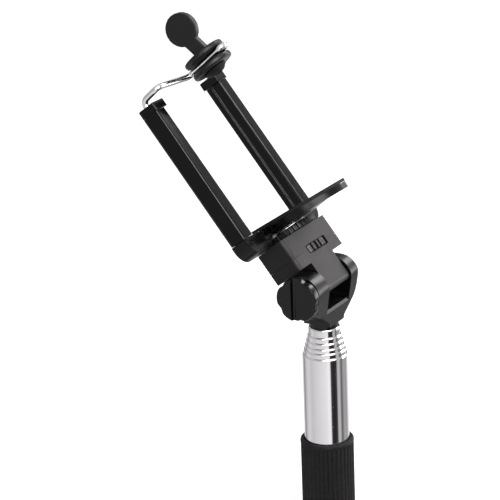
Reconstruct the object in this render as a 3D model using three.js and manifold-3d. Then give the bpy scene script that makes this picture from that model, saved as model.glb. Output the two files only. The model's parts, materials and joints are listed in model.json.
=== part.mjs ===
// Telescopic selfie stick with a tilting head, a tripod-screw block and a spring clamp for a phone.
// Millimetres, +Z up the stick, origin at the centre of the end cap's flat bottom face.
// The head's pivot runs along X, with its wing nut at -X. The clamp opens towards -Y.
import * as THREE from "three";
import { mergeVertices } from "three/addons/utils/BufferGeometryUtils.js";
import Module from "manifold-3d";

const wasm = await Module();
wasm.setup();
const { Manifold, Mesh: SolidMesh } = wasm;

// ---------- driving dimensions ----------
const ROUND = 32; // sides of the round pieces that show
const GRIP_TOP = 140;
const GRIP_R = 10.05;
const TUBE_R = 8.5;
const TUBE_STEP = 0.5; // each section is this much smaller in radius than the one around it
const TUBE_WALL = 0.35;
const TUBE_TOP = GRIP_TOP + 34.3;
const TUBE_FOOT = 6.3;
const BEADS = [2.0, 1.65, 2.0, 2.05, 3.07]; // how far each section's mouth stands above the last
const CRIMP = 1.4; // height of the turned-in mouth of a tube
const BUSH_Z = [17.5, 25.5]; // the plastic bush under each section
const NECK_R = 5.4;
const PIVOT_Z = GRIP_TOP + 61.5;
const TILT = THREE.MathUtils.degToRad(38.98); // how far the head leans back
const SWIVEL = THREE.MathUtils.degToRad(5.33); // how far the clamp is turned on its screw

const FORK = { inner: 8.38, ear: 7.78, outer: 13.7, nutSide: 16.3, floor: -7.29, foot: -14.2 };
const BOLT_R = 2.4;
const HOLE_R = 2.65;
const BLOCK = { half: 15.82, front: -6.6, back: 6.26, foot: 8.4, seam: 13.1, top: 21.28 };
const TONGUE = { half: 7.86, drop: -3.7, round: 2 };
const WINDOW = { x: [-5.07, 8.55], u: [11.44, 14.85] };
const WHEEL = { r: 8.4, u: [11.7, 14.6], teeth: 24 };
const SCREW_X = 1.74; // the tripod screw stands in the middle of the window, off the block's own middle
const SCREW_R = 3.17; // 1/4 inch tripod thread
const SHELF = { r: 16.2, y: -12.8, foot: 26.15, pad: 28.65, top: 29.84, lean: 4.7 };
const PRONG = { inner: 22.15, outer: 28.37, front: 0.9, back: 8, foot: 29.1, top: 85.5 };
const CHANNEL = { x: [23.45, 27.25], y: [1.75, 7.15] }; // the hollow that each leg slides in
const FIT = 0.15; // between a prong's hollow and what stands in it
const CAP_TOP = 88.8;
const CAP_LIP = { side: 1.7, front: 0.6 }; // how far each cap stands out past its prong
const LEG = { x: 25.35, y: 5.15, foot: 35 };
const WIRE_R = 1.2;
const NOSE_X = 2.3; // half the spacing of the wire's two arms in the jaw
const JAW = { y: -12.8, u: 91.6, r: 8.4, tilt: THREE.MathUtils.degToRad(4.5) };
const TAB_R = 6.5;

// ---------- materials ----------
const paint = (color, roughness, metalness = 0) => new THREE.MeshStandardMaterial({ color, roughness, metalness });
const RUBBER = () => paint(0x161616, 0.85);
const CHROME = () => paint(0xd8d8dc, 0.12, 1);
const STEEL = () => paint(0xa9abb0, 0.3, 1);
const MATTE = () => paint(0x1c1b1b, 0.55);
const GLOSS = () => paint(0x0d0d0e, 0.2);
const BRASS = () => paint(0xb79a55, 0.35, 1);

// ---------- helpers ----------
const X_AXIS = new THREE.Vector3(1, 0, 0);
const Y_AXIS = new THREE.Vector3(0, 1, 0);
const Z_AXIS = new THREE.Vector3(0, 0, 1);

// A geometry as a closed solid, with its faces turned outwards.
function solid(geometry) {
  const bare = geometry.clone();
  bare.deleteAttribute("normal");
  bare.deleteAttribute("uv");
  const merged = mergeVertices(bare, 1e-4);
  const v = merged.attributes.position.array;
  const corners = [];
  for (let i = 0; i < merged.index.count; i += 3) {
    const [a, b, c] = merged.index.array.slice(i, i + 3);
    if (a !== b && b !== c && c !== a) corners.push(a, b, c);
  }
  let volume = 0;
  const p = (i) => new THREE.Vector3(v[3 * i], v[3 * i + 1], v[3 * i + 2]);
  for (let i = 0; i < corners.length; i += 3)
    volume += p(corners[i]).dot(p(corners[i + 1]).cross(p(corners[i + 2])));
  if (volume < 0)
    for (let i = 0; i < corners.length; i += 3)
      [corners[i], corners[i + 1]] = [corners[i + 1], corners[i]];
  return new Manifold(new SolidMesh({ numProp: 3, vertProperties: v, triVerts: new Uint32Array(corners) }));
}

function geometryOf(body) {
  const mesh = body.getMesh();
  const geometry = new THREE.BufferGeometry();
  geometry.setAttribute("position", new THREE.BufferAttribute(mesh.vertProperties, 3));
  geometry.setIndex(new THREE.BufferAttribute(mesh.triVerts, 1));
  geometry.computeVertexNormals();
  return geometry;
}

function add(group, name, body, material) {
  const mesh = new THREE.Mesh(geometryOf(body), material);
  mesh.name = name;
  group.add(mesh);
}

const join = (...bodies) => Manifold.union(bodies);

// A turned piece about Z: profile is a list of [radius, height]; it closes, or starts and ends on the axis.
function turned(profile, sides = ROUND) {
  const points = profile.map(([r, h]) => new THREE.Vector2(r, h));
  const last = profile[profile.length - 1];
  if (profile[0][0] > 0 || last[0] > 0) points.push(points[0].clone());
  const geometry = new THREE.LatheGeometry(points, sides);
  geometry.rotateX(Math.PI / 2);
  return solid(geometry);
}

const rod = (r, z0, z1, sides = ROUND) => turned([[0, z0], [r, z0], [r, z1], [0, z1]], sides);
const ring = (r, hole, z0, z1, sides = ROUND) => turned([[hole, z0], [r, z0], [r, z1], [hole, z1]], sides);
// The same pieces lying along X, from x0 to x1.
const rodX = (r, x0, x1, sides = 24) => rod(r, x0, x1, sides).rotate([0, 90, 0]);
const ringX = (r, hole, x0, x1, sides = 24) => ring(r, hole, x0, x1, sides).rotate([0, 90, 0]);

function block(x, y, z) {
  const geometry = new THREE.BoxGeometry(x[1] - x[0], y[1] - y[0], z[1] - z[0]);
  geometry.translate((x[0] + x[1]) / 2, (y[0] + y[1]) / 2, (z[0] + z[1]) / 2);
  return solid(geometry);
}

function polygon(points) {
  return new THREE.Shape(points.map(([a, b]) => new THREE.Vector2(a, b)));
}

// A rectangle with its own radius at each corner, starting at the lower left and going round.
function roundedRectangle(x, y, [r0, r1, r2, r3]) {
  const shape = new THREE.Shape();
  shape.moveTo(x[0] + r0, y[0]);
  shape.lineTo(x[1] - r1, y[0]);
  shape.absarc(x[1] - r1, y[0] + r1, r1, -Math.PI / 2, 0);
  shape.lineTo(x[1], y[1] - r2);
  shape.absarc(x[1] - r2, y[1] - r2, r2, 0, Math.PI / 2);
  shape.lineTo(x[0] + r3, y[1]);
  shape.absarc(x[0] + r3, y[1] - r3, r3, Math.PI / 2, Math.PI);
  shape.lineTo(x[0], y[0] + r0);
  shape.absarc(x[0] + r0, y[0] + r0, r0, Math.PI, 1.5 * Math.PI);
  return shape;
}

// A shape drawn in XY and raised from z0 to z1, with its end edges bevelled.
function raised(shape, z0, z1, bevel = 0, curveSegments = 4) {
  const geometry = new THREE.ExtrudeGeometry(shape, {
    depth: z1 - z0 - 2 * bevel,
    bevelEnabled: bevel > 0,
    bevelThickness: bevel,
    bevelSize: bevel,
    bevelOffset: -bevel,
    bevelSegments: 2,
    curveSegments,
  });
  geometry.translate(0, 0, z0 + bevel);
  return geometry;
}

// The same, drawn in YZ and raised along X.
function raisedX(shape, x0, x1, bevel = 0, curveSegments = 4) {
  const geometry = raised(shape, x0, x1, bevel, curveSegments);
  geometry.applyMatrix4(new THREE.Matrix4().makeBasis(Y_AXIS, Z_AXIS, X_AXIS));
  return solid(geometry);
}

// The same, drawn in XZ and raised along Y from y0 to y1.
function raisedY(shape, y0, y1, bevel = 0, curveSegments = 4) {
  const geometry = raised(shape, -y1, -y0, bevel, curveSegments);
  geometry.applyMatrix4(new THREE.Matrix4().makeBasis(X_AXIS, Z_AXIS, Y_AXIS.clone().negate()));
  return solid(geometry);
}

// A disc about Z with rounded rims.
function puck(r, z0, z1, edge, sides = ROUND) {
  return turned([
    [0, z0], [r - edge, z0], [r - 0.3 * edge, z0 + 0.3 * edge], [r, z0 + edge],
    [r, z1 - edge], [r - 0.3 * edge, z1 - 0.3 * edge], [r - edge, z1], [0, z1],
  ], sides);
}

function wireAlong(curve, r, steps, sides) {
  const section = new THREE.Shape();
  section.absarc(0, 0, r, 0, 2 * Math.PI);
  return solid(new THREE.ExtrudeGeometry(section, { steps, curveSegments: sides, extrudePath: curve }));
}

const both = (make) => {
  make(-1, "left");
  make(1, "right");
};

// ---------- groups ----------
const stick = new THREE.Group();
stick.name = "selfie_stick";
const head = new THREE.Group(); // origin on the pivot, local z away from the stick
head.position.set(0, 0, PIVOT_Z);
head.rotation.x = -TILT;
stick.add(head);
const clamp = new THREE.Group(); // turns on the tripod screw, which is its local z axis
clamp.position.x = SCREW_X;
clamp.rotation.z = SWIVEL;
head.add(clamp);

// ---------- handle ----------
function endCap() {
  const body = turned([
    [0, 0], [8.6, 0], [9.6, 0.6], [10.2, 1.8], [10.2, 5.4], [9.7, 6], [7.9, 6], [7.9, 15], [7.2, 16], [0, 16],
  ]);
  const cordHole = rodX(1.3, -12, 12, 16).translate([0, 0, 3.2]);
  return body.subtract(cordHole);
}

function gripSleeve() {
  const ribs = 37;
  const points = [];
  for (let i = 0; i < ribs; i++)
    for (const [turn, r] of [[0, GRIP_R - 0.32], [0.34, GRIP_R - 0.02], [0.66, GRIP_R - 0.02]]) {
      const a = ((i + turn) / ribs) * 2 * Math.PI;
      points.push([r * Math.cos(a), r * Math.sin(a)]);
    }
  const shape = polygon(points);
  const hole = new THREE.Path();
  hole.absarc(0, 0, TUBE_R + 0.15, 0, 2 * Math.PI, true);
  shape.holes.push(hole);
  const sleeve = solid(raised(shape, TUBE_FOOT, GRIP_TOP - 0.9, 0, ROUND / 2));
  const inner = TUBE_R + 0.15;
  const rim = turned([
    [inner, GRIP_TOP - 2], [GRIP_R - 0.25, GRIP_TOP - 2], [GRIP_R, GRIP_TOP - 1.7], [GRIP_R, GRIP_TOP - 0.7],
    [GRIP_R - 0.35, GRIP_TOP - 0.15], [GRIP_R - 0.8, GRIP_TOP], [inner, GRIP_TOP],
  ]);
  return join(sleeve, rim);
}

// A drawn tube with its mouth rounded over and turned in to guide the next section.
function drawnTube(r, foot, top) {
  const bore = r - TUBE_WALL;
  const mouth = bore - 0.1;
  return turned([
    [bore, foot], [r, foot], [r, top - 0.8], [r - 0.14, top - 0.2], [mouth + 0.06, top],
    [mouth, top - CRIMP], [bore, top - CRIMP - 0.3],
  ]);
}

add(stick, "end_cap", endCap(), MATTE());
add(stick, "grip_sleeve", gripSleeve(), RUBBER());
add(stick, "outer_tube", drawnTube(TUBE_R, TUBE_FOOT, TUBE_TOP), CHROME());

let mouthZ = TUBE_TOP;
BEADS.forEach((rise, i) => {
  mouthZ += rise;
  const r = TUBE_R - TUBE_STEP * (i + 1);
  const parentBore = r + TUBE_STEP - TUBE_WALL;
  add(stick, `tube_section_${i + 1}`, drawnTube(r, BUSH_Z[1], mouthZ), CHROME());
  const bush = ring(parentBore - 0.04, r - TUBE_WALL, BUSH_Z[0], BUSH_Z[1]);
  add(stick, `section_bush_${i + 1}`, bush, MATTE());
});

// Seen from the front: a U whose foot narrows to the neck. The ear under the wing nut is the thicker one.
function forkFront() {
  const flank = [
    [5.4, FORK.foot - 0.5], [5.7, -13], [7.3, -11.8], [9, -10.4], [11, -8.7], [12.3, -7.4], [13.2, -5.6], [13.6, -3.4],
    [FORK.outer, -1], [13.6, 4], [13.3, 7], [12.6, FORK.ear + 0.2],
  ];
  const thicker = (x, z) => x + (FORK.nutSide - FORK.outer) * Math.min(1, Math.max(0, (z + 10.4) / 4));
  const left = flank.map(([x, z]) => [-thicker(x, z), z]).reverse();
  return polygon([...flank, ...left]);
}

// Seen from the side: ears rounded about the pivot, with straight flanks that draw in downwards.
function forkSide() {
  const front = [[5.4, FORK.foot - 0.5], [6.15, -7.4], [7.35, 0.5]];
  for (let a = 72; a > 0; a -= 9) {
    const turn = THREE.MathUtils.degToRad(a);
    front.push([FORK.ear * Math.sin(turn), FORK.ear * Math.cos(turn)]);
  }
  const back = front.map(([y, z]) => [-y, z]).reverse();
  return polygon([...front, ...back]);
}

function fork() {
  const outline = raisedY(forkFront(), -9, 9).intersect(raisedX(forkSide(), -18, 18));
  const neck = rod(NECK_R, mouthZ - PIVOT_Z - 12, FORK.foot + 1.5);
  const gapShape = roundedRectangle([-FORK.inner, FORK.inner], [FORK.floor, 20], [1, 1, 0.1, 0.1]);
  const gap = raisedY(gapShape, -10, 10);
  // The bottom of the gap is chamfered where it meets the front and the back of the fork.
  const corner = [[-10, -8.35], [-6.04, -8.35], [-5.45, -7.2], [-5.45, -6], [-10, -6]];
  const chamfer = raisedX(polygon(corner), -FORK.inner, FORK.inner);
  const boltHole = rodX(HOLE_R, -20, 20);
  const hexPocket = rodX(4.75, 11, 20, 6);
  return join(outline, neck).subtract(gap).subtract(chamfer).subtract(boltHole).subtract(hexPocket).translate([0, 0, PIVOT_Z]);
}

function pivotBolt() {
  const hex = rodX(4.45, 11.2, 13.9, 6);
  return join(hex, rodX(BOLT_R, -18.1, 12)).translate([0, 0, PIVOT_Z]);
}

// A thick round knob with shallow notches in its rim, and a groove across it that leaves two raised wings.
function wingNut() {
  const notches = 5;
  const firstNotch = THREE.MathUtils.degToRad(41);
  const points = [];
  for (let i = 0; i < 50; i++) {
    const a = (i / 50) * 2 * Math.PI;
    const r = 8.35 - 0.8 * Math.pow(Math.abs(Math.cos((notches * (a - firstNotch)) / 2)), 10);
    points.push([r * Math.cos(a), r * Math.sin(a)]);
  }
  const knob = raisedX(polygon(points), -20.6, -17.1, 0.7);
  const half = [[-21.2, 2.4], [-20.3, 2], [-19.1, 1.9], [-18.8, 1.5]];
  const mirrored = half.map(([x, y]) => [x, -y]).reverse();
  const groove = solid(raised(polygon([...half, ...mirrored]), -12, 12));
  const hole = rodX(BOLT_R + 0.15, -18.3, -14);
  return knob.subtract(groove).subtract(hole).translate([0, 0, PIVOT_Z]);
}

add(stick, "fork", fork(), MATTE());
add(stick, "pivot_bolt", pivotBolt(), STEEL());
both((side, name) => {
  const x = side < 0 ? [-8.3, -7.96] : [7.96, 8.3];
  add(stick, `friction_washer_${name}`, ringX(3.6, HOLE_R, x[0], x[1]).translate([0, 0, PIVOT_Z]), STEEL());
});
add(stick, "nut_washer", ringX(5.4, HOLE_R, -16.95, -16.45).translate([0, 0, PIVOT_Z]), STEEL());
add(stick, "wing_nut", wingNut(), MATTE());

// ---------- head block ----------
const blockShape = () => roundedRectangle([-BLOCK.half, BLOCK.half], [BLOCK.front, BLOCK.back], [1.8, 0.5, 0.5, 0.5]);
const windowCut = () => block(WINDOW.x, [-9, 9], WINDOW.u);
const wheelPocket = () => rod(WHEEL.r + 0.3, WINDOW.u[0], WINDOW.u[1], 32).translate([SCREW_X, 0, 0]);
const screwWay = () => rod(SCREW_R + 0.25, 9.4, 30, 24).translate([SCREW_X, 0, 0]);
// The step that locates the cover on the body, drawn in from the block's outline.
function step(inset, height) {
  const x = BLOCK.half - inset;
  const y = [BLOCK.front + inset, BLOCK.back - inset];
  return block([-x, x], y, [BLOCK.seam - 0.3, BLOCK.seam + height]);
}
const coverScrewAt = (side) => [side * 12.8, 0, 0];

function headBody() {
  const box = join(solid(raised(blockShape(), BLOCK.foot, BLOCK.seam - 0.04)), step(1.4, 0.8));
  const side = roundedRectangle(
    [BLOCK.front + 0.05, BLOCK.back], [TONGUE.drop, BLOCK.foot + 1], [TONGUE.round, TONGUE.round, 0.1, 0.1],
  );
  const tongue = raisedX(side, -TONGUE.half, TONGUE.half);
  let body = join(box, tongue).subtract(rodX(HOLE_R, -20, 20));
  body = body.subtract(windowCut()).subtract(wheelPocket()).subtract(screwWay());
  both((s) => {
    body = body.subtract(rod(2.2, 8, 10.1, 20).translate(coverScrewAt(s)));
    body = body.subtract(rod(1.3, 9, 14, 16).translate(coverScrewAt(s)));
  });
  return body;
}

function headCover() {
  let body = solid(raised(blockShape(), BLOCK.seam + 0.04, BLOCK.top)).subtract(step(1.2, 1));
  body = body.subtract(windowCut()).subtract(wheelPocket()).subtract(screwWay());
  both((s) => {
    body = body.subtract(rod(1.25, 12, 18.6, 16).translate(coverScrewAt(s)));
  });
  return body;
}

function coverScrew(side) {
  const body = turned([[0, 8.7], [2, 8.7], [2, 9.9], [1.1, 9.9], [1.1, 18], [0, 18.3]], 16);
  const slot = block([-3, 3], [-0.3, 0.3], [8, 9.2]);
  return body.subtract(slot).translate(coverScrewAt(side));
}

function thumbwheel() {
  const points = [];
  for (let i = 0; i < WHEEL.teeth; i++)
    for (const [turn, r] of [[0, WHEEL.r - 1], [0.15, WHEEL.r], [0.55, WHEEL.r], [0.7, WHEEL.r - 1]]) {
      const a = ((i + turn) / WHEEL.teeth) * 2 * Math.PI;
      points.push([r * Math.cos(a), r * Math.sin(a)]);
    }
  const body = solid(raised(polygon(points), WHEEL.u[0], WHEEL.u[1]));
  return body.subtract(rod(SCREW_R + 0.1, 8, 20, 24)).translate([SCREW_X, 0, 0]);
}

// Tripod screw: a plain foot held by the wheel, and a thread above it.
function tripodScrew() {
  const profile = [[0, 9.7], [SCREW_R, 9.7], [SCREW_R, 16]];
  const pitch = 1.27;
  for (let u = 16.4; u < 27; u += pitch)
    profile.push([SCREW_R - 0.55, u], [SCREW_R, u + 0.5 * pitch]);
  profile.push([SCREW_R - 0.8, 27.9], [0, 27.9]);
  return turned(profile, 18).translate([SCREW_X, 0, 0]);
}

function lockRing() {
  const teeth = 34;
  const points = [];
  for (let i = 0; i < teeth; i++)
    for (const [turn, r] of [[0, 9.9], [0.2, 10.6], [0.55, 10.6], [0.75, 9.9]]) {
      const a = ((i + turn) / teeth) * 2 * Math.PI;
      points.push([r * Math.cos(a), r * Math.sin(a)]);
    }
  const body = solid(raised(polygon(points), 21.5, 23.8)).subtract(rod(SCREW_R + 0.15, 20, 26, 24));
  return body.translate([SCREW_X, 0, 0]);
}

add(head, "head_body", headBody(), MATTE());
add(head, "head_cover", headCover(), MATTE());
both((side, name) => add(head, `cover_screw_${name}`, coverScrew(side), STEEL()));
add(head, "thumbwheel", thumbwheel(), MATTE());
add(head, "tripod_screw", tripodScrew(), STEEL());
add(head, "top_washer", ring(7.4, SCREW_R + 0.3, 23.95, 24.4).translate([SCREW_X, 0, 0]), CHROME());
add(head, "lock_ring", lockRing(), MATTE());

// ---------- clamp base ----------
// The shelf and its pad lean forwards a little, about the line where they meet the prongs.
const leaning = (body) => body.translate([0, 0, -SHELF.top]).rotate([SHELF.lean, 0, 0]).translate([0, 0, SHELF.top]);
function shelfOutline(r, halfBridge, back) {
  const disc = solid(raised(new THREE.Shape().absarc(0, SHELF.y, r, 0, 2 * Math.PI), 0, 1, 0, 26));
  const bridge = block([-halfBridge, halfBridge], [SHELF.y, back], [0, 1]);
  return join(disc, bridge);
}

function clampBase() {
  const plate = shelfOutline(SHELF.r, 12.4, 6.9).scale([1, 1, SHELF.pad - 0.15 - SHELF.foot]).translate([0, 0, SHELF.foot]);
  const bowl = turned([[0, 24.6], [9.6, 24.6], [13, 25], [15.6, 25.9], [15.6, 26.4], [0, 26.4]]);
  const bar = block([-20, 20], [-1.4, PRONG.back], [24.7, SHELF.pad - 0.4]);
  const boss = shelfOutline(SHELF.r - 2, 10.4, 4.9).scale([1, 1, 0.9]).translate([0, 0, SHELF.pad - 0.45]);
  let base = join(leaning(plate), leaning(boss), bowl.translate([0, -8.2, 0]), bar);
  both((side) => {
    const reach = side < 0 ? [-PRONG.outer, -17.7] : [17.7, PRONG.outer];
    const corners = side < 0 ? [5.5, 1.2, 0.3, 0.3] : [1.2, 5.5, 0.3, 0.3];
    const foot = raisedY(roundedRectangle(reach, [21.45, PRONG.foot - 0.15], corners), PRONG.front, PRONG.back);
    const shoe = block(side < 0 ? [-19, -11.3] : [11.3, 19], [PRONG.front, PRONG.back], [21.45, SHELF.pad - 0.4]);
    base = join(base, foot, shoe, stopper(side, 28, 33.4));
  });
  return base.subtract(rod(5.15, 20, 40, 28));
}

function shelfPad() {
  const sheet = shelfOutline(SHELF.r + 0.1, 12.3, 6.7).scale([1, 1, SHELF.top - SHELF.pad]).translate([0, 0, SHELF.pad]);
  const recess = shelfOutline(SHELF.r - 1.8, 10.6, 5.1).translate([0, 0, SHELF.pad - 0.4]);
  return leaning(sheet.subtract(recess));
}

function threadedInsert() {
  return ring(5, SCREW_R + 0.1, 24.9, 27.9, 28);
}

// A square tube with a shallow groove down the face that looks at the other prong.
function prong(side) {
  const { inner, outer, front, back } = PRONG;
  const points = [
    [inner, front], [outer - 1, front], [outer - 0.3, front + 0.3], [outer, front + 1], [outer, back - 0.5],
    [outer - 0.5, back], [inner, back], [inner, 5.4], [inner + 0.8, 5.4], [inner + 0.8, 1.65], [inner, 1.65],
  ];
  const outside = solid(raised(polygon(points), PRONG.foot, PRONG.top));
  const hollow = block(CHANNEL.x, CHANNEL.y, [PRONG.foot - 1, PRONG.top + 1]);
  const tube = outside.subtract(hollow);
  return side < 0 ? tube.mirror([1, 0, 0]) : tube;
}

// A square block that fits in a prong's hollow, from u0 to u1.
function stopper(side, u0, u1) {
  const x = CHANNEL.x.map((edge, i) => side * (edge + (i ? -FIT : FIT))).sort((a, b) => a - b);
  return block(x, [CHANNEL.y[0] + FIT, CHANNEL.y[1] - FIT], [u0, u1]);
}

function prongCap(side) {
  const { inner, outer, front, back } = PRONG;
  const x = side < 0 ? [-outer, CAP_LIP.side - inner] : [inner - CAP_LIP.side, outer];
  const corners = side < 0 ? [0.9, 0.4, 0.4, 0.9] : [0.4, 0.9, 0.9, 0.4];
  const whole = solid(raised(roundedRectangle(x, [front - CAP_LIP.front, back], corners), PRONG.top - 1, CAP_TOP, 0.3, 2));
  const top = whole.trimByPlane([0, 0, 1], PRONG.top + 0.1);
  const wireHole = rod(WIRE_R + 0.15, 70, 100, 16).translate([side * LEG.x, LEG.y, 0]);
  return join(top, stopper(side, PRONG.top - 2.6, PRONG.top + 1)).subtract(wireHole);
}

function slider(side) {
  const wireSocket = rod(WIRE_R + 0.05, 34.8, 50, 16).translate([side * LEG.x, LEG.y, 0]);
  return stopper(side, 34.2, 40).subtract(wireSocket);
}

function clampSpring(side) {
  class Coil extends THREE.Curve {
    getPoint(t, target = new THREE.Vector3()) {
      const a = t * 2 * Math.PI * 10;
      const r = 1.5;
      return target.set(side * LEG.x + r * Math.cos(a), LEG.y + r * Math.sin(a), 40.5 + t * 42);
    }
  }
  return wireAlong(new Coil(), 0.24, 90, 2);
}

// The wire: up out of one prong, forwards, in to the jaw, round a narrow nose and back the same way.
function bail() {
  const rise = Math.tan(JAW.tilt);
  const noseU = (y) => JAW.u + (JAW.y - y) * rise;
  const bendY = -3.3;
  const tipY = -21.9;
  const half = [
    [-LEG.x, LEG.y, LEG.foot], [-LEG.x, LEG.y, 91.3], [-LEG.x + 0.2, bendY, 92.2], [-NOSE_X, bendY, noseU(bendY)],
    [-NOSE_X, tipY, noseU(tipY)],
  ];
  const other = half.map(([x, y, u]) => [-x, y, u]).reverse();
  const corners = [...half, ...other].map((p) => new THREE.Vector3(...p));
  const path = new THREE.CurvePath();
  let from = corners[0];
  for (let i = 1; i < corners.length - 1; i++) {
    const corner = corners[i];
    const before = corner.distanceTo(corners[i - 1]) / 2;
    const after = corner.distanceTo(corners[i + 1]) / 2;
    const cut = Math.min(2.4, before, after);
    const start = corner.clone().add(corners[i - 1].clone().sub(corner).setLength(cut));
    const end = corner.clone().add(corners[i + 1].clone().sub(corner).setLength(cut));
    if (from.distanceTo(start) > 0.01) path.add(new THREE.LineCurve3(from, start));
    path.add(new THREE.QuadraticBezierCurve3(start, corner, end));
    from = end;
  }
  path.add(new THREE.LineCurve3(from, corners[corners.length - 1]));
  return wireAlong(path, WIRE_R, 104, 4);
}

add(clamp, "clamp_base", clampBase(), GLOSS());
add(clamp, "shelf_pad", shelfPad(), RUBBER());
add(clamp, "threaded_insert", threadedInsert(), BRASS());
both((side, name) => {
  add(clamp, `prong_${name}`, prong(side), GLOSS());
  add(clamp, `prong_cap_${name}`, prongCap(side), GLOSS());
  add(clamp, `clamp_spring_${name}`, clampSpring(side), STEEL());
  add(clamp, `bail_slider_${name}`, slider(side), MATTE());
});
add(clamp, "wire_bail", bail(), CHROME());

// ---------- jaw ----------
const jaw = new THREE.Group(); // origin on the wire between the two discs
jaw.position.set(0, JAW.y, JAW.u);
jaw.rotation.x = -JAW.tilt;
clamp.add(jaw);

function pullTab() {
  const disc = puck(JAW.r, 1.4, 3.7, 0.8);
  const centre = [0.5, 15];
  const neck = 3;
  const outline = new THREE.Shape();
  const a = Math.asin(neck / TAB_R);
  outline.moveTo(-neck - 0.5, 2.9);
  outline.lineTo(neck - 0.5, 2.9);
  outline.lineTo(centre[0] + neck, centre[1] - TAB_R * Math.cos(a));
  outline.absarc(centre[0], centre[1], TAB_R, -Math.PI / 2 + a, 1.5 * Math.PI - a);
  const tab = raisedX(outline, -1.5, 1.5, 0.6, 10);
  return join(disc, tab).subtract(rod(0.9, 0, 3.4, 14));
}

function jawPlate() {
  return puck(JAW.r, -3.8, -1.4, 0.8).subtract(rod(1.15, -6, 0, 14));
}

function jawPad() {
  const cone = turned([[0, -6.1], [2.3, -6.1], [3.2, -5.8], [4.8, -4.5], [4.8, -4], [0, -4]], 32);
  return cone.subtract(rod(1.8, -8, 0, 16));
}

function jawScrew() {
  return join(rod(1.6, -5.3, -4.1, 16), rod(0.8, -5, 3, 12));
}

add(jaw, "pull_tab", pullTab(), MATTE());
add(jaw, "jaw_plate", jawPlate(), MATTE());
add(jaw, "jaw_pad", jawPad(), RUBBER());
add(jaw, "jaw_screw", jawScrew(), STEEL());

export default stick;
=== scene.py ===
# Looks of a telescopic selfie stick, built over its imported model. Metres, in the frame of the CAD part.
import json
import math

import bpy
import bmesh
from mathutils import Matrix, Vector


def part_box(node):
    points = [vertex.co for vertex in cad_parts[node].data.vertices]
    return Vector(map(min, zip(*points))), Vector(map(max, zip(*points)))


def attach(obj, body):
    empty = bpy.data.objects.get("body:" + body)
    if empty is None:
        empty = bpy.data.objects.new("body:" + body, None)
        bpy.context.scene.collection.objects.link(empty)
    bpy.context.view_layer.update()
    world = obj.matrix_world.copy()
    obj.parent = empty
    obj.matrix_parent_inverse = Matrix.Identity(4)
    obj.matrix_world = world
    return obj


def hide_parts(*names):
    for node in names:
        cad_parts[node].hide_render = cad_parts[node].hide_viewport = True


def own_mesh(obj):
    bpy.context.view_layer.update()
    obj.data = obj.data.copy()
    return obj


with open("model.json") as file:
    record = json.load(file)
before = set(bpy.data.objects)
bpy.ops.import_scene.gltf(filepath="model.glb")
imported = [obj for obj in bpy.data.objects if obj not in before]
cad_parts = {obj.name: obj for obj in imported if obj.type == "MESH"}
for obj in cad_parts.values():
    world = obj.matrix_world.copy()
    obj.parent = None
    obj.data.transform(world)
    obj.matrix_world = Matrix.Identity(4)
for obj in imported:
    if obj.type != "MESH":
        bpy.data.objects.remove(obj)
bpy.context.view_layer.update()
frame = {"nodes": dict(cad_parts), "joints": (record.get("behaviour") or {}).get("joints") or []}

MM = 0.001
WELD = 0.01 * MM  # how near two corners of a CAD mesh are one corner
ROUNDED_OVER = math.radians(40)
SHARP_OVER = math.radians(35)
NODES = frame["nodes"]

# ---------- places, in millimetres, from the frame ----------
def joint_named(name):
    return next(j for j in frame["joints"] if j["name"] == name)


def top_of(node):
    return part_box(node)[1].z / MM


def foot_of(node):
    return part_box(node)[0].z / MM


def radius_of(node):
    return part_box(node)[1].x / MM


SECTIONS = range(1, 6)
GRIP_TOP = top_of("grip_sleeve")
PIVOT_Z = joint_named("head_tilt")["pos_m"][2] / MM
LEAN = joint_named("clamp_swivel")["axis"]
TILT = math.atan2(LEAN[1], LEAN[2])
SWIVEL = math.radians(5.33)
SCREW_X = joint_named("clamp_swivel")["pos_m"][0] / MM
# In the clamp's own frame: the middle of the jaw, its lean, and the wire's two legs in the prongs.
JAW_Y, JAW_U, JAW_TILT = -12.8, 91.6, math.radians(4.5)
LEG_X, LEG_Y, LEG_FOOT = 25.35, 5.15, 35
HEAD = Matrix.Translation((0, 0, PIVOT_Z)) @ Matrix.Rotation(-TILT, 4, "X")
CLAMP = HEAD @ Matrix.Translation((SCREW_X, 0, 0)) @ Matrix.Rotation(SWIVEL, 4, "Z")


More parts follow.
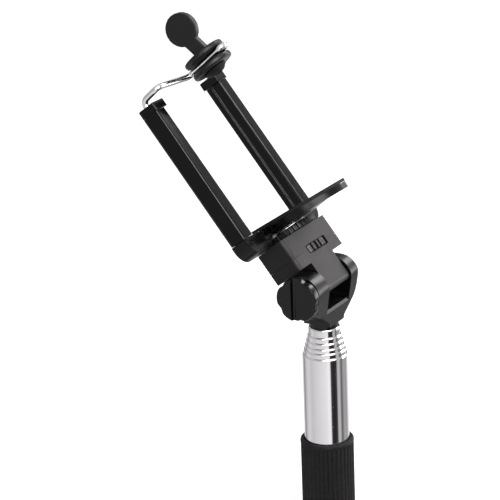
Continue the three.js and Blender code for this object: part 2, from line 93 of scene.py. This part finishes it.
# ---------- material helpers ----------
class Nodes:
    """A material's node tree with short calls to add and link nodes."""

    def __init__(self, name):
        self.material = bpy.data.materials.new(name)
        self.material.use_nodes = True
        self.tree = self.material.node_tree
        self.shader = self.tree.nodes["Principled BSDF"]
        self.coords = self.tree.nodes.new("ShaderNodeTexCoord").outputs["Object"]

    def add(self, kind, **values):
        node = self.tree.nodes.new(kind)
        for key, value in values.items():
            if key in node.inputs:
                node.inputs[key].default_value = value
            else:
                setattr(node, key, value)
        return node

    def link(self, a, b):
        self.tree.links.new(a, b)

    def set(self, **values):
        for key, value in values.items():
            self.shader.inputs[key.replace("_", " ")].default_value = value

    def noise(self, scale, detail=2.0, roughness=0.5, coords=None):
        node = self.add("ShaderNodeTexNoise", Scale=scale, Detail=detail, Roughness=roughness)
        self.link(coords or self.coords, node.inputs["Vector"])
        return node.outputs["Fac"]

    def stretched(self, x, y, z):
        node = self.add("ShaderNodeMapping")
        node.inputs["Scale"].default_value = (x, y, z)
        self.link(self.coords, node.inputs["Vector"])
        return node.outputs["Vector"]

    def to_range(self, value, low, high, source=(0.3, 0.7)):
        node = self.add("ShaderNodeMapRange")
        node.inputs["From Min"].default_value = source[0]
        node.inputs["From Max"].default_value = source[1]
        node.inputs["To Min"].default_value = low
        node.inputs["To Max"].default_value = high
        self.link(value, node.inputs["Value"])
        return node.outputs["Result"]

    def colours(self, value, low, high, source=(0.3, 0.7)):
        node = self.add("ShaderNodeValToRGB")
        node.color_ramp.elements[0].position = source[0]
        node.color_ramp.elements[1].position = source[1]
        node.color_ramp.elements[0].color = (*low, 1)
        node.color_ramp.elements[1].color = (*high, 1)
        self.link(value, node.inputs["Fac"])
        return node.outputs["Color"]

    def bump(self, height, strength, distance, after=None):
        node = self.add("ShaderNodeBump", Strength=strength, Distance=distance)
        self.link(height, node.inputs["Height"])
        if after is not None:
            self.link(after, node.inputs["Normal"])
        self.link(node.outputs["Normal"], self.shader.inputs["Normal"])
        return node.outputs["Normal"]


def grey(v):
    return (v, v, v)


def moulded_plastic(name, dark, light, roughness, grain, depth, specular=0.4):
    """Black plastic with a fine mould texture, faint mottling and rubbed patches."""
    n = Nodes(name)
    mottle = n.noise(90, 3)
    n.link(n.colours(mottle, dark, light), n.shader.inputs["Base Color"])
    rub = n.noise(260, 4, 0.65)
    n.link(n.to_range(rub, roughness - 0.05, roughness + 0.07), n.shader.inputs["Roughness"])
    n.set(Specular_IOR_Level=specular)
    n.bump(n.noise(grain, 2, 0.6), 0.35, depth)
    return n.material


def gloss_plastic():
    """Glossy black plastic whose surface is very slightly wavy."""
    n = Nodes("gloss_black_plastic")
    tint = n.colours(n.noise(70, 2), (0.0014, 0.0014, 0.0017), (0.0027, 0.0027, 0.0031))
    n.link(tint, n.shader.inputs["Base Color"])
    n.link(n.to_range(n.noise(420, 4, 0.7), 0.12, 0.2), n.shader.inputs["Roughness"])
    n.set(Specular_IOR_Level=0.2)
    flow = n.bump(n.noise(55, 2), 0.12, 0.0004)
    n.bump(n.noise(6000, 2), 0.08, 0.00003, flow)
    return n.material


def rubber(name, colour, grain):
    """Dull rubber with a fine grain and dusty patches."""
    n = Nodes(name)
    dusty = tuple(c * 1.7 for c in colour)
    n.link(n.colours(n.noise(160, 4), colour, dusty), n.shader.inputs["Base Color"])
    n.link(n.to_range(n.noise(900, 3), 0.62, 0.8), n.shader.inputs["Roughness"])
    n.set(Specular_IOR_Level=0.35)
    n.bump(n.noise(grain, 3, 0.7), 0.4, 0.00004)
    return n.material


def polished_tube():
    """Drawn and plated tube: fine lines along it, a few faint smudges."""
    n = Nodes("polished_tube")
    n.set(Metallic=1.0)
    lines = n.noise(1.0, 3, 0.6, n.stretched(5200, 5200, 55))
    smudge = n.noise(48, 3)
    n.link(n.colours(smudge, (0.83, 0.805, 0.83), (0.90, 0.88, 0.90)), n.shader.inputs["Base Color"])
    n.link(n.to_range(smudge, 0.06, 0.11), n.shader.inputs["Roughness"])
    n.bump(lines, 0.05, 0.00003)
    return n.material


def chrome(name, roughness):
    """Bright plating with faint unevenness."""
    n = Nodes(name)
    n.set(Metallic=1.0)
    n.link(n.colours(n.noise(130, 3), (0.8, 0.8, 0.81), (0.9, 0.9, 0.91)), n.shader.inputs["Base Color"])
    n.link(n.to_range(n.noise(520, 3), roughness, roughness + 0.06), n.shader.inputs["Roughness"])
    n.bump(n.noise(700, 2), 0.04, 0.00003)
    return n.material


def turned_steel(name, colour, roughness):
    """Machined metal, brighter in patches where it was rubbed."""
    n = Nodes(name)
    n.set(Metallic=1.0)
    bright = tuple(min(1, c * 1.25) for c in colour)
    n.link(n.colours(n.noise(300, 4), colour, bright), n.shader.inputs["Base Color"])
    n.link(n.to_range(n.noise(1500, 3), roughness, roughness + 0.12), n.shader.inputs["Roughness"])
    n.bump(n.noise(3500, 2), 0.12, 0.00003)
    return n.material


def stippled_plastic(name, base, roughness):
    """Black plastic with a fine pebbled face, for the tab that fingers pull."""
    n = Nodes(name)
    n.link(n.colours(n.noise(140, 3), grey(base), grey(base * 1.6)), n.shader.inputs["Base Color"])
    n.link(n.to_range(n.noise(700, 3), roughness, roughness + 0.12), n.shader.inputs["Roughness"])
    n.set(Specular_IOR_Level=0.4)
    pebbles = n.add("ShaderNodeTexVoronoi", Scale=900.0)
    n.link(n.coords, pebbles.inputs["Vector"])
    n.bump(pebbles.outputs["Distance"], 0.5, 0.00018)
    return n.material


M_TUBE = polished_tube()
M_CHROME = chrome("mirror_chrome", 0.05)
M_STEEL = turned_steel("turned_steel", (0.42, 0.42, 0.43), 0.24)
M_SPRING = turned_steel("spring_steel", (0.16, 0.16, 0.17), 0.35)
M_BRASS = turned_steel("turned_brass", (0.5, 0.36, 0.14), 0.3)
M_GRIP = rubber("grip_rubber", (0.0050, 0.0050, 0.0054), 5200)
M_PAD = rubber("pad_rubber", (0.005, 0.005, 0.0055), 3800)
# Name, darker and lighter colour, roughness, scale of the grain, its depth, and how much it mirrors.
M_FORK = moulded_plastic(
    "fork_plastic", (0.003, 0.0028, 0.0029), (0.0052, 0.005, 0.005), 0.3, 3600, 0.00005, 0.38)
M_KNOB = moulded_plastic(
    "knob_plastic", (0.003, 0.003, 0.0036), (0.005, 0.0048, 0.0056), 0.22, 3600, 0.00005, 0.38)
M_BLOCK = moulded_plastic(
    "block_plastic", (0.043, 0.0405, 0.0402), (0.068, 0.064, 0.0635), 0.42, 2600, 0.00014, 0.24)
M_WHEEL = moulded_plastic(
    "wheel_plastic", (0.05, 0.048, 0.048), (0.07, 0.067, 0.067), 0.35, 3000, 0.00006, 0.5)
M_JAW = moulded_plastic(
    "jaw_plastic", (0.004, 0.004, 0.0044), (0.006, 0.006, 0.0065), 0.36, 4200, 0.00005)
M_BASE = moulded_plastic(
    "clamp_plastic", (0.002, 0.002, 0.0022), (0.004, 0.004, 0.0042), 0.24, 2400, 0.00005, 0.26)
M_TAB = stippled_plastic("tab_plastic", 0.0025, 0.36)
M_GLOSS = gloss_plastic()
# Paler plastic for the rounded long edges of the prongs: painted highlight lines along them.
M_PAINTED_EDGE_HIGHLIGHT = moulded_plastic(
    "painted_edge_highlight_plastic", (0.08, 0.077, 0.074), (0.15, 0.145, 0.14), 0.3, 3600, 0.00003)


# ---------- mesh helpers ----------
def smooth(obj, angle):
    """Smooth shading on a mesh made here, but for edges sharper than the angle."""
    mesh = obj.data
    mesh.polygons.foreach_set("use_smooth", [True] * len(mesh.polygons))
    mesh.set_sharp_from_angle(angle=math.radians(angle))


def bevel(obj, width):
    """Rounds the sharp edges and keeps the flat faces between them looking flat."""
    m = obj.modifiers.new("edge", "BEVEL")
    m.width = width * MM
    m.segments = 3
    m.limit_method = "ANGLE"
    m.angle_limit = ROUNDED_OVER
    flat = obj.modifiers.new("flat_faces", "WEIGHTED_NORMAL")
    flat.mode = "FACE_AREA"
    flat.weight = 80


def dress(node, material, edge=0.0):
    """Gives a CAD node its material, smooth shading and edges rounded by so many millimetres."""
    obj = NODES[node]
    obj.data.materials.clear()
    obj.data.materials.append(material)
    obj.data.polygons.foreach_set("use_smooth", [True] * len(obj.data.polygons))
    weld = obj.modifiers.new("weld", "WELD")
    weld.merge_threshold = WELD
    if edge:
        bevel(obj, edge)
    else:
        split = obj.modifiers.new("split", "EDGE_SPLIT")
        split.split_angle = SHARP_OVER
    return obj


def edge_key(a, b):
    return frozenset(tuple(round(c, 6) for c in corner) for corner in (a, b))


def long_sharp_edges(obj, shortest=20):
    """The keys of an object's sharp edges that run up the clamp."""
    turn = obj.matrix_world.to_3x3()
    up = Vector(LEAN)
    bm = bmesh.new()
    bm.from_mesh(obj.data)
    bmesh.ops.remove_doubles(bm, verts=bm.verts, dist=WELD)
    found = set()
    for edge in bm.edges:
        a, b = (v.co for v in edge.verts)
        run = turn @ (b - a)
        upright = run.length > shortest * MM and abs(run.normalized().dot(up)) > 0.99
        if upright and edge.calc_face_angle(0) > ROUNDED_OVER:
            found.add(edge_key(a, b))
    bm.free()
    return found


def round_long_edges_with_painted_highlight(obj):
    """Rounds only the edges that run up the clamp, and gives them a paler plastic: painted highlight lines
    along those edges.
    """
    mesh = obj.data
    long_edges = long_sharp_edges(obj)
    weights = mesh.attributes.new("bevel_weight_edge", "FLOAT", "EDGE")
    for edge in mesh.edges:
        a, b = (mesh.vertices[v].co for v in edge.vertices)
        if edge_key(a, b) in long_edges:
            weights.data[edge.index].value = 1.0
    mesh.materials.append(M_PAINTED_EDGE_HIGHLIGHT)
    m = obj.modifiers["edge"]
    m.limit_method = "WEIGHT"
    m.use_clamp_overlap = False
    # The rounded faces take the paler plastic, which is a painted highlight.
    m.material = 1


def place(obj, material, body, replaced):
    """Puts a piece made here in the scene, on its body, in place of its CAD nodes."""
    bpy.context.scene.collection.objects.link(obj)
    obj.data.materials.clear()
    obj.data.materials.append(material)
    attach(obj, body)
    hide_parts(*replaced)
    return obj


def mesh_object(name, bm):
    """A bmesh drawn in millimetres, as an object in metres."""
    bmesh.ops.transform(bm, matrix=Matrix.Scale(MM, 4), verts=bm.verts)
    bmesh.ops.recalc_face_normals(bm, faces=bm.faces)
    mesh = bpy.data.meshes.new(name)
    bm.to_mesh(mesh)
    bm.free()
    return bpy.data.objects.new(name, mesh)


def turned(name, profile, sides, ripple=lambda a: 0.0):
    """A closed profile turned about the stick's axis.

    A point of the profile is (radius, height, share), and ripple(angle) times its share is added to its radius.
    """
    bm = bmesh.new()
    rings = []
    for i in range(sides):
        a = 2 * math.pi * i / sides
        ring = []
        for r, z, share in profile:
            reach = r + ripple(a) * share
            ring.append(bm.verts.new((reach * math.cos(a), reach * math.sin(a), z)))
        rings.append(ring)
    count = len(profile)
    for i in range(sides):
        here, there = rings[i], rings[(i + 1) % sides]
        for j in range(count):
            k = (j + 1) % count
            bm.faces.new((here[j], there[j], there[k], here[k]))
    return mesh_object(name, bm)


def wire(name, points, radius, matrix, resolution=6):
    """A round wire through points, as a curve."""
    curve = bpy.data.curves.new(name, "CURVE")
    curve.dimensions = "3D"
    curve.bevel_depth = radius * MM
    curve.bevel_resolution = resolution
    curve.use_fill_caps = True
    spline = curve.splines.new("POLY")
    spline.points.add(len(points) - 1)
    for i, p in enumerate(points):
        q = (matrix @ Vector(p)) * MM
        spline.points[i].co = (*q, 1)
    spline.use_smooth = True
    return bpy.data.objects.new(name, curve)


# ---------- handle and tubes ----------
def grip():
    """The ribbed sleeve, with a plain lip at its top."""
    ribs = 37
    top = GRIP_TOP
    profile = [
        (8.66, 6.3, 0), (9.9, 6.3, 0), (10.02, 6.5, 1), (10.02, 30, 1), (10.02, 60, 1), (10.02, 90, 1),
        (10.02, 120, 1), (10.02, top - 1.75, 1), (9.98, top - 1.6, 0.4), (10.1, top - 1.45, 0),
        (10.12, top - 0.9, 0),
        (9.98, top - 0.35, 0), (9.7, top - 0.08, 0), (9.3, top, 0), (8.9, top - 0.06, 0), (8.66, top - 0.3, 0),
    ]

    def ripple(a):
        wave = 0.5 + 0.5 * math.cos(ribs * a)
        return -0.42 * (1 - wave ** 0.55)

    obj = turned("ribbed_grip", profile, sides=ribs * 14, ripple=ripple)
    place(obj, M_GRIP, "handle", ["grip_sleeve"])
    smooth(obj, 50)


def tube_profile(r, foot, top):
    """A thin tube whose top is rolled inwards."""
    bore = r - 0.35
    return [
        (bore, foot, 0), (r, foot, 0), (r, top - 1.0, 0), (r - 0.015, top - 0.75, 0),
        (r - 0.07, top - 0.45, 0), (r - 0.16, top - 0.2, 0), (r - 0.28, top - 0.05, 0),
        (r - 0.38, top, 0), (r - 0.44, top - 0.06, 0),
        (r - 0.45, top - 0.3, 0), (r - 0.45, top - 1.4, 0), (bore, top - 1.7, 0),
    ]


def tubes():
    shells = [("outer_tube", "outer_tube_shell", "handle")]
    shells += [(f"tube_section_{i}", f"section_shell_{i}", f"section_{i}") for i in SECTIONS]
    for node, name, body in shells:
        obj = turned(name, tube_profile(radius_of(node), foot_of(node), top_of(node)), sides=128)
        place(obj, M_TUBE, body, [node])
        smooth(obj, 60)
    for i in SECTIONS:
        dress(f"section_bush_{i}", M_JAW)


grip()
tubes()
dress("end_cap", M_FORK, 0.4)

# ---------- head ----------
dress("fork", M_FORK, 0.8)
dress("wing_nut", M_KNOB, 0.4)
dress("pivot_bolt", M_STEEL, 0.15)
for side in ("left", "right"):
    dress(f"friction_washer_{side}", M_STEEL)
    dress(f"cover_screw_{side}", M_STEEL)
dress("nut_washer", M_STEEL, 0.1)
dress("head_body", M_BLOCK, 0.15)
dress("head_cover", M_BLOCK, 0.15)
dress("thumbwheel", M_WHEEL, 0.12)
dress("tripod_screw", M_STEEL)
dress("top_washer", M_CHROME, 0.15)
dress("lock_ring", M_FORK, 0.12)


# ---------- clamp ----------
def bail_points():
    """The wire's path: up out of one prong, forwards, in to the jaw, round its nose and back."""
    nose, bend, tip = 2.3, -3.3, -21.9
    elbow_u, shoulder_u = 91.3, 92.2
    bend_radius = 2.4

    def height(y):
        return JAW_U + (JAW_Y - y) * math.tan(JAW_TILT)

    half = [
        (-LEG_X, LEG_Y, LEG_FOOT), (-LEG_X, LEG_Y, elbow_u), (-LEG_X + 0.2, bend, shoulder_u),
        (-nose, bend, height(bend)), (-nose, tip, height(tip)),
    ]
    corners = [Vector(p) for p in half + [(-x, y, u) for x, y, u in reversed(half)]]
    points = [corners[0]]
    for before, corner, after in zip(corners, corners[1:], corners[2:]):
        cut = min(bend_radius, (corner - before).length / 2, (corner - after).length / 2)
        a = corner + (before - corner).normalized() * cut
        b = corner + (after - corner).normalized() * cut
        for k in range(13):
            t = k / 12
            points.append(a * (1 - t) ** 2 + corner * 2 * t * (1 - t) + b * t ** 2)
    points.append(corners[-1])
    return points


def coil_spring(side, sign):
    """A coil in the prong between the wire's slider and the cap. The real one shortens as the jaw slides out;
    this one keeps one length.
    """
    foot, top, radius, turns, steps = 40.5, 82.5, 1.5, 16, 20
    points = []
    for k in range(turns * steps + 1):
        a = 2 * math.pi * k / steps
        height = foot + (top - foot) * k / (turns * steps)
        points.append((sign * LEG_X + radius * math.cos(a), LEG_Y + radius * math.sin(a), height))
    curve = wire(f"coil_{side}", points, 0.24, CLAMP, resolution=1)
    obj = bpy.data.objects.new(f"coil_spring_{side}", bpy.data.meshes.new_from_object(curve))
    place(obj, M_SPRING, "clamp", [f"clamp_spring_{side}"])
    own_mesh(obj)


bail = wire("chrome_bail", bail_points(), 1.2, CLAMP)
place(bail, M_CHROME, "jaw", ["wire_bail"])

dress("clamp_base", M_BASE, 0.2)
dress("shelf_pad", M_PAD, 0.12)
dress("threaded_insert", M_BRASS, 0.1)
for side, sign in (("left", -1), ("right", 1)):
    # Prongs: long edges rounded, with painted highlight lines on them.
    round_long_edges_with_painted_highlight(dress(f"prong_{side}", M_GLOSS, 0.36))
    dress(f"prong_cap_{side}", M_GLOSS, 0.2)
    coil_spring(side, sign)
    dress(f"bail_slider_{side}", M_JAW, 0.2)

dress("pull_tab", M_TAB, 0.25)
dress("jaw_plate", M_JAW, 0.2)
dress("jaw_pad", M_PAD, 0.3)
dress("jaw_screw", M_STEEL, 0.15)


# ---------- studio ----------
CAMERA_AZIMUTH = math.radians(-59)


def floor():
    bm = bmesh.new()
    bmesh.ops.create_grid(bm, x_segments=2, y_segments=2, size=6)
    mesh = bpy.data.meshes.new("floor")
    bm.to_mesh(mesh)
    bm.free()
    obj = bpy.data.objects.new("floor", mesh)
    obj.location.z = -0.0005
    bpy.context.scene.collection.objects.link(obj)
    n = Nodes("white_floor")
    n.set(Base_Color=(0.9, 0.9, 0.9, 1), Roughness=0.9, Specular_IOR_Level=0.1)
    n.set(Emission_Color=(1, 1, 1, 1), Emission_Strength=0.75)
    obj.data.materials.append(n.material)
    obj.visible_glossy = False
    obj.visible_diffuse = False


def softbox(name, direction, distance, side, power):
    """A square light that faces the stick and isn't seen in reflections."""
    light = bpy.data.lights.new(name, "AREA")
    light.shape = "RECTANGLE"
    light.size, light.size_y = side, side
    light.energy = power
    obj = bpy.data.objects.new(name, light)
    d = Vector(direction).normalized()
    obj.location = Vector((0, 0.01, 0.22)) + d * distance
    obj.rotation_euler = d.to_track_quat("Z", "Y").to_euler()
    obj.visible_glossy = False
    bpy.context.scene.collection.objects.link(obj)


class Sky:
    """The world's nodes. Azimuths are in degrees from the camera's side, positive to its right."""

    def __init__(self, azimuth):
        world = bpy.data.worlds.new("studio")
        world.use_nodes = True
        self.tree = world.node_tree
        self.background = self.tree.nodes["Background"]
        bpy.context.scene.world = world
        coords = self.tree.nodes.new("ShaderNodeTexCoord").outputs["Generated"]
        turn = self.tree.nodes.new("ShaderNodeVectorRotate")
        turn.rotation_type = "Z_AXIS"
        turn.inputs["Angle"].default_value = math.radians(90) - azimuth
        self.link(coords, turn.inputs["Vector"])
        self.direction = turn.outputs["Vector"]
        around = self.tree.nodes.new("ShaderNodeTexGradient")
        around.gradient_type = "RADIAL"
        self.link(self.direction, around.inputs["Vector"])
        self.around = around.outputs["Fac"]
        split = self.tree.nodes.new("ShaderNodeSeparateXYZ")
        self.link(self.direction, split.inputs["Vector"])
        self.up = self.math("MULTIPLY_ADD", split.outputs["Z"], 0.5, 0.5)

    def link(self, a, b):
        self.tree.links.new(a, b)

    def math(self, operation, *values):
        node = self.tree.nodes.new("ShaderNodeMath")
        node.operation = operation
        for socket, value in zip(node.inputs, values):
            if isinstance(value, (int, float)):
                socket.default_value = value
            else:
                self.link(value, socket)
        return node.outputs[0]

    def ramp(self, value, stops):
        """A brightness that changes with value, through stops of (place from 0 to 1, brightness)."""
        node = self.tree.nodes.new("ShaderNodeValToRGB")
        elements = node.color_ramp.elements
        while len(elements) < len(stops):
            elements.new(1.0)
        for element, (place_, level) in zip(elements, stops):
            element.position = place_
            element.color = (level, level, level, 1)
        self.link(value, node.inputs["Fac"])
        return node.outputs["Color"]

    def by_azimuth(self, stops):
        return self.ramp(self.around, [(0.5 + degrees / 360, level) for degrees, level in stops])

    def by_elevation(self, stops):
        return self.ramp(self.up, [(0.5 + 0.5 * math.sin(math.radians(e)), level) for e, level in stops])

    def spot(self, azimuth, elevation, inner, outer):
        """1 inside the inner angle of a direction, 0 outside the outer one."""
        a, e = math.radians(azimuth), math.radians(elevation)
        node = self.tree.nodes.new("ShaderNodeVectorMath")
        node.operation = "DOT_PRODUCT"
        node.inputs[1].default_value = (math.cos(a) * math.cos(e), math.sin(a) * math.cos(e), math.sin(e))
        self.link(self.direction, node.inputs[0])
        fade = self.tree.nodes.new("ShaderNodeMapRange")
        fade.inputs["From Min"].default_value = math.cos(math.radians(outer))
        fade.inputs["From Max"].default_value = math.cos(math.radians(inner))
        self.link(node.outputs["Value"], fade.inputs["Value"])
        return fade.outputs["Result"]


# What shiny surfaces reflect. Walls: (azimuth, brightness). Lamps: azimuth, elevation, where the
# light starts to fade and where it ends (degrees from its middle), and power.
WALLS = [
    (-180, 0.8), (-150, 0.75), (-134, 0.25), (-115, 0.6), (-98, 0.72), (-76, 0.6), (-50, 0.7), (0, 0.85),
    (13, 0.98), (22, 0.9), (25, 0.05), (38, 0.02), (55, 0.04), (61, 0.5), (72, 0.55), (82, 0.15),
    (88, 0.15), (96, 0.35), (108, 0.42), (122, 0.34), (130, 0.5), (142, 0.95), (180, 0.8),
]
CEILING = [(-5, 0), (6, 0.45), (30, 0.5), (55, 0.7), (90, 0.8)]
LAMPS = [(-8, 21, 7, 12, 5.0), (30, 38, 18, 28, 6.0), (134, 34, 8, 12, 9.0)]
STRIP_POWER = 4.0
DIFFUSE_LEVEL = 0.1


def studio():
    """White backdrop; shiny surfaces reflect white walls, dark flags and lamps."""
    sky = Sky(CAMERA_AZIMUTH)
    walls = sky.by_azimuth(WALLS)
    ceiling = sky.by_elevation(CEILING)
    below = sky.by_elevation([(-5, 1), (6, 0)])
    strip = sky.math(
        "MULTIPLY", sky.by_azimuth([(90, 0), (100, 1), (132, 1), (142, 0)]),
        sky.by_elevation([(-14, 0), (-8, 1), (8, 1), (15, 0)]),
    )
    level = sky.math("MULTIPLY_ADD", walls, below, ceiling)
    level = sky.math("MULTIPLY_ADD", strip, STRIP_POWER, level)
    for azimuth, elevation, inner, outer, power in LAMPS:
        level = sky.math("MULTIPLY_ADD", sky.spot(azimuth, elevation, inner, outer), power, level)
    paths = sky.tree.nodes.new("ShaderNodeLightPath")
    level = sky.math("MULTIPLY", level, paths.outputs["Is Glossy Ray"])
    level = sky.math("MULTIPLY_ADD", paths.outputs["Is Diffuse Ray"], DIFFUSE_LEVEL, level)
    level = sky.math("ADD", paths.outputs["Is Camera Ray"], level)
    sky.link(level, sky.background.inputs["Strength"])
    sky.background.inputs["Color"].default_value = (1, 1, 1, 1)


def camera():
    """Camera set by its direction from the grip's top, its distance, and where that point is in view."""
    azimuth, elevation, roll = CAMERA_AZIMUTH, math.radians(19.88), math.radians(-2.07)
    distance, across, up = 1047, 29.04, -70.13
    focal, picture = 2781, 500
    level = math.cos(elevation)
    back = Vector((math.sin(azimuth) * level, -math.cos(azimuth) * level, math.sin(elevation)))
    right = Vector((math.cos(azimuth), math.sin(azimuth), 0))
    over = back.cross(right)
    x = math.cos(roll) * right + math.sin(roll) * over
    y = -math.sin(roll) * right + math.cos(roll) * over
    place_mm = back * distance - x * across - y * up + Vector((0, 0, GRIP_TOP))
    data = bpy.data.cameras.new("camera")
    data.sensor_width = 36
    data.lens = focal / picture * data.sensor_width
    data.clip_end = 20
    obj = bpy.data.objects.new("camera", data)
    obj.matrix_world = Matrix.Translation(place_mm * MM) @ Matrix((x, y, back)).transposed().to_4x4()
    bpy.context.scene.collection.objects.link(obj)
    bpy.context.scene.camera = obj


floor()
softbox("key_softbox", (0.5, -0.66, 0.56), 1.1, 0.55, 16)
softbox("fill_softbox", (-0.55, -0.6, 0.5), 1.3, 0.8, 0.8)
studio()
camera()
bpy.context.scene.view_settings.view_transform = "Standard"
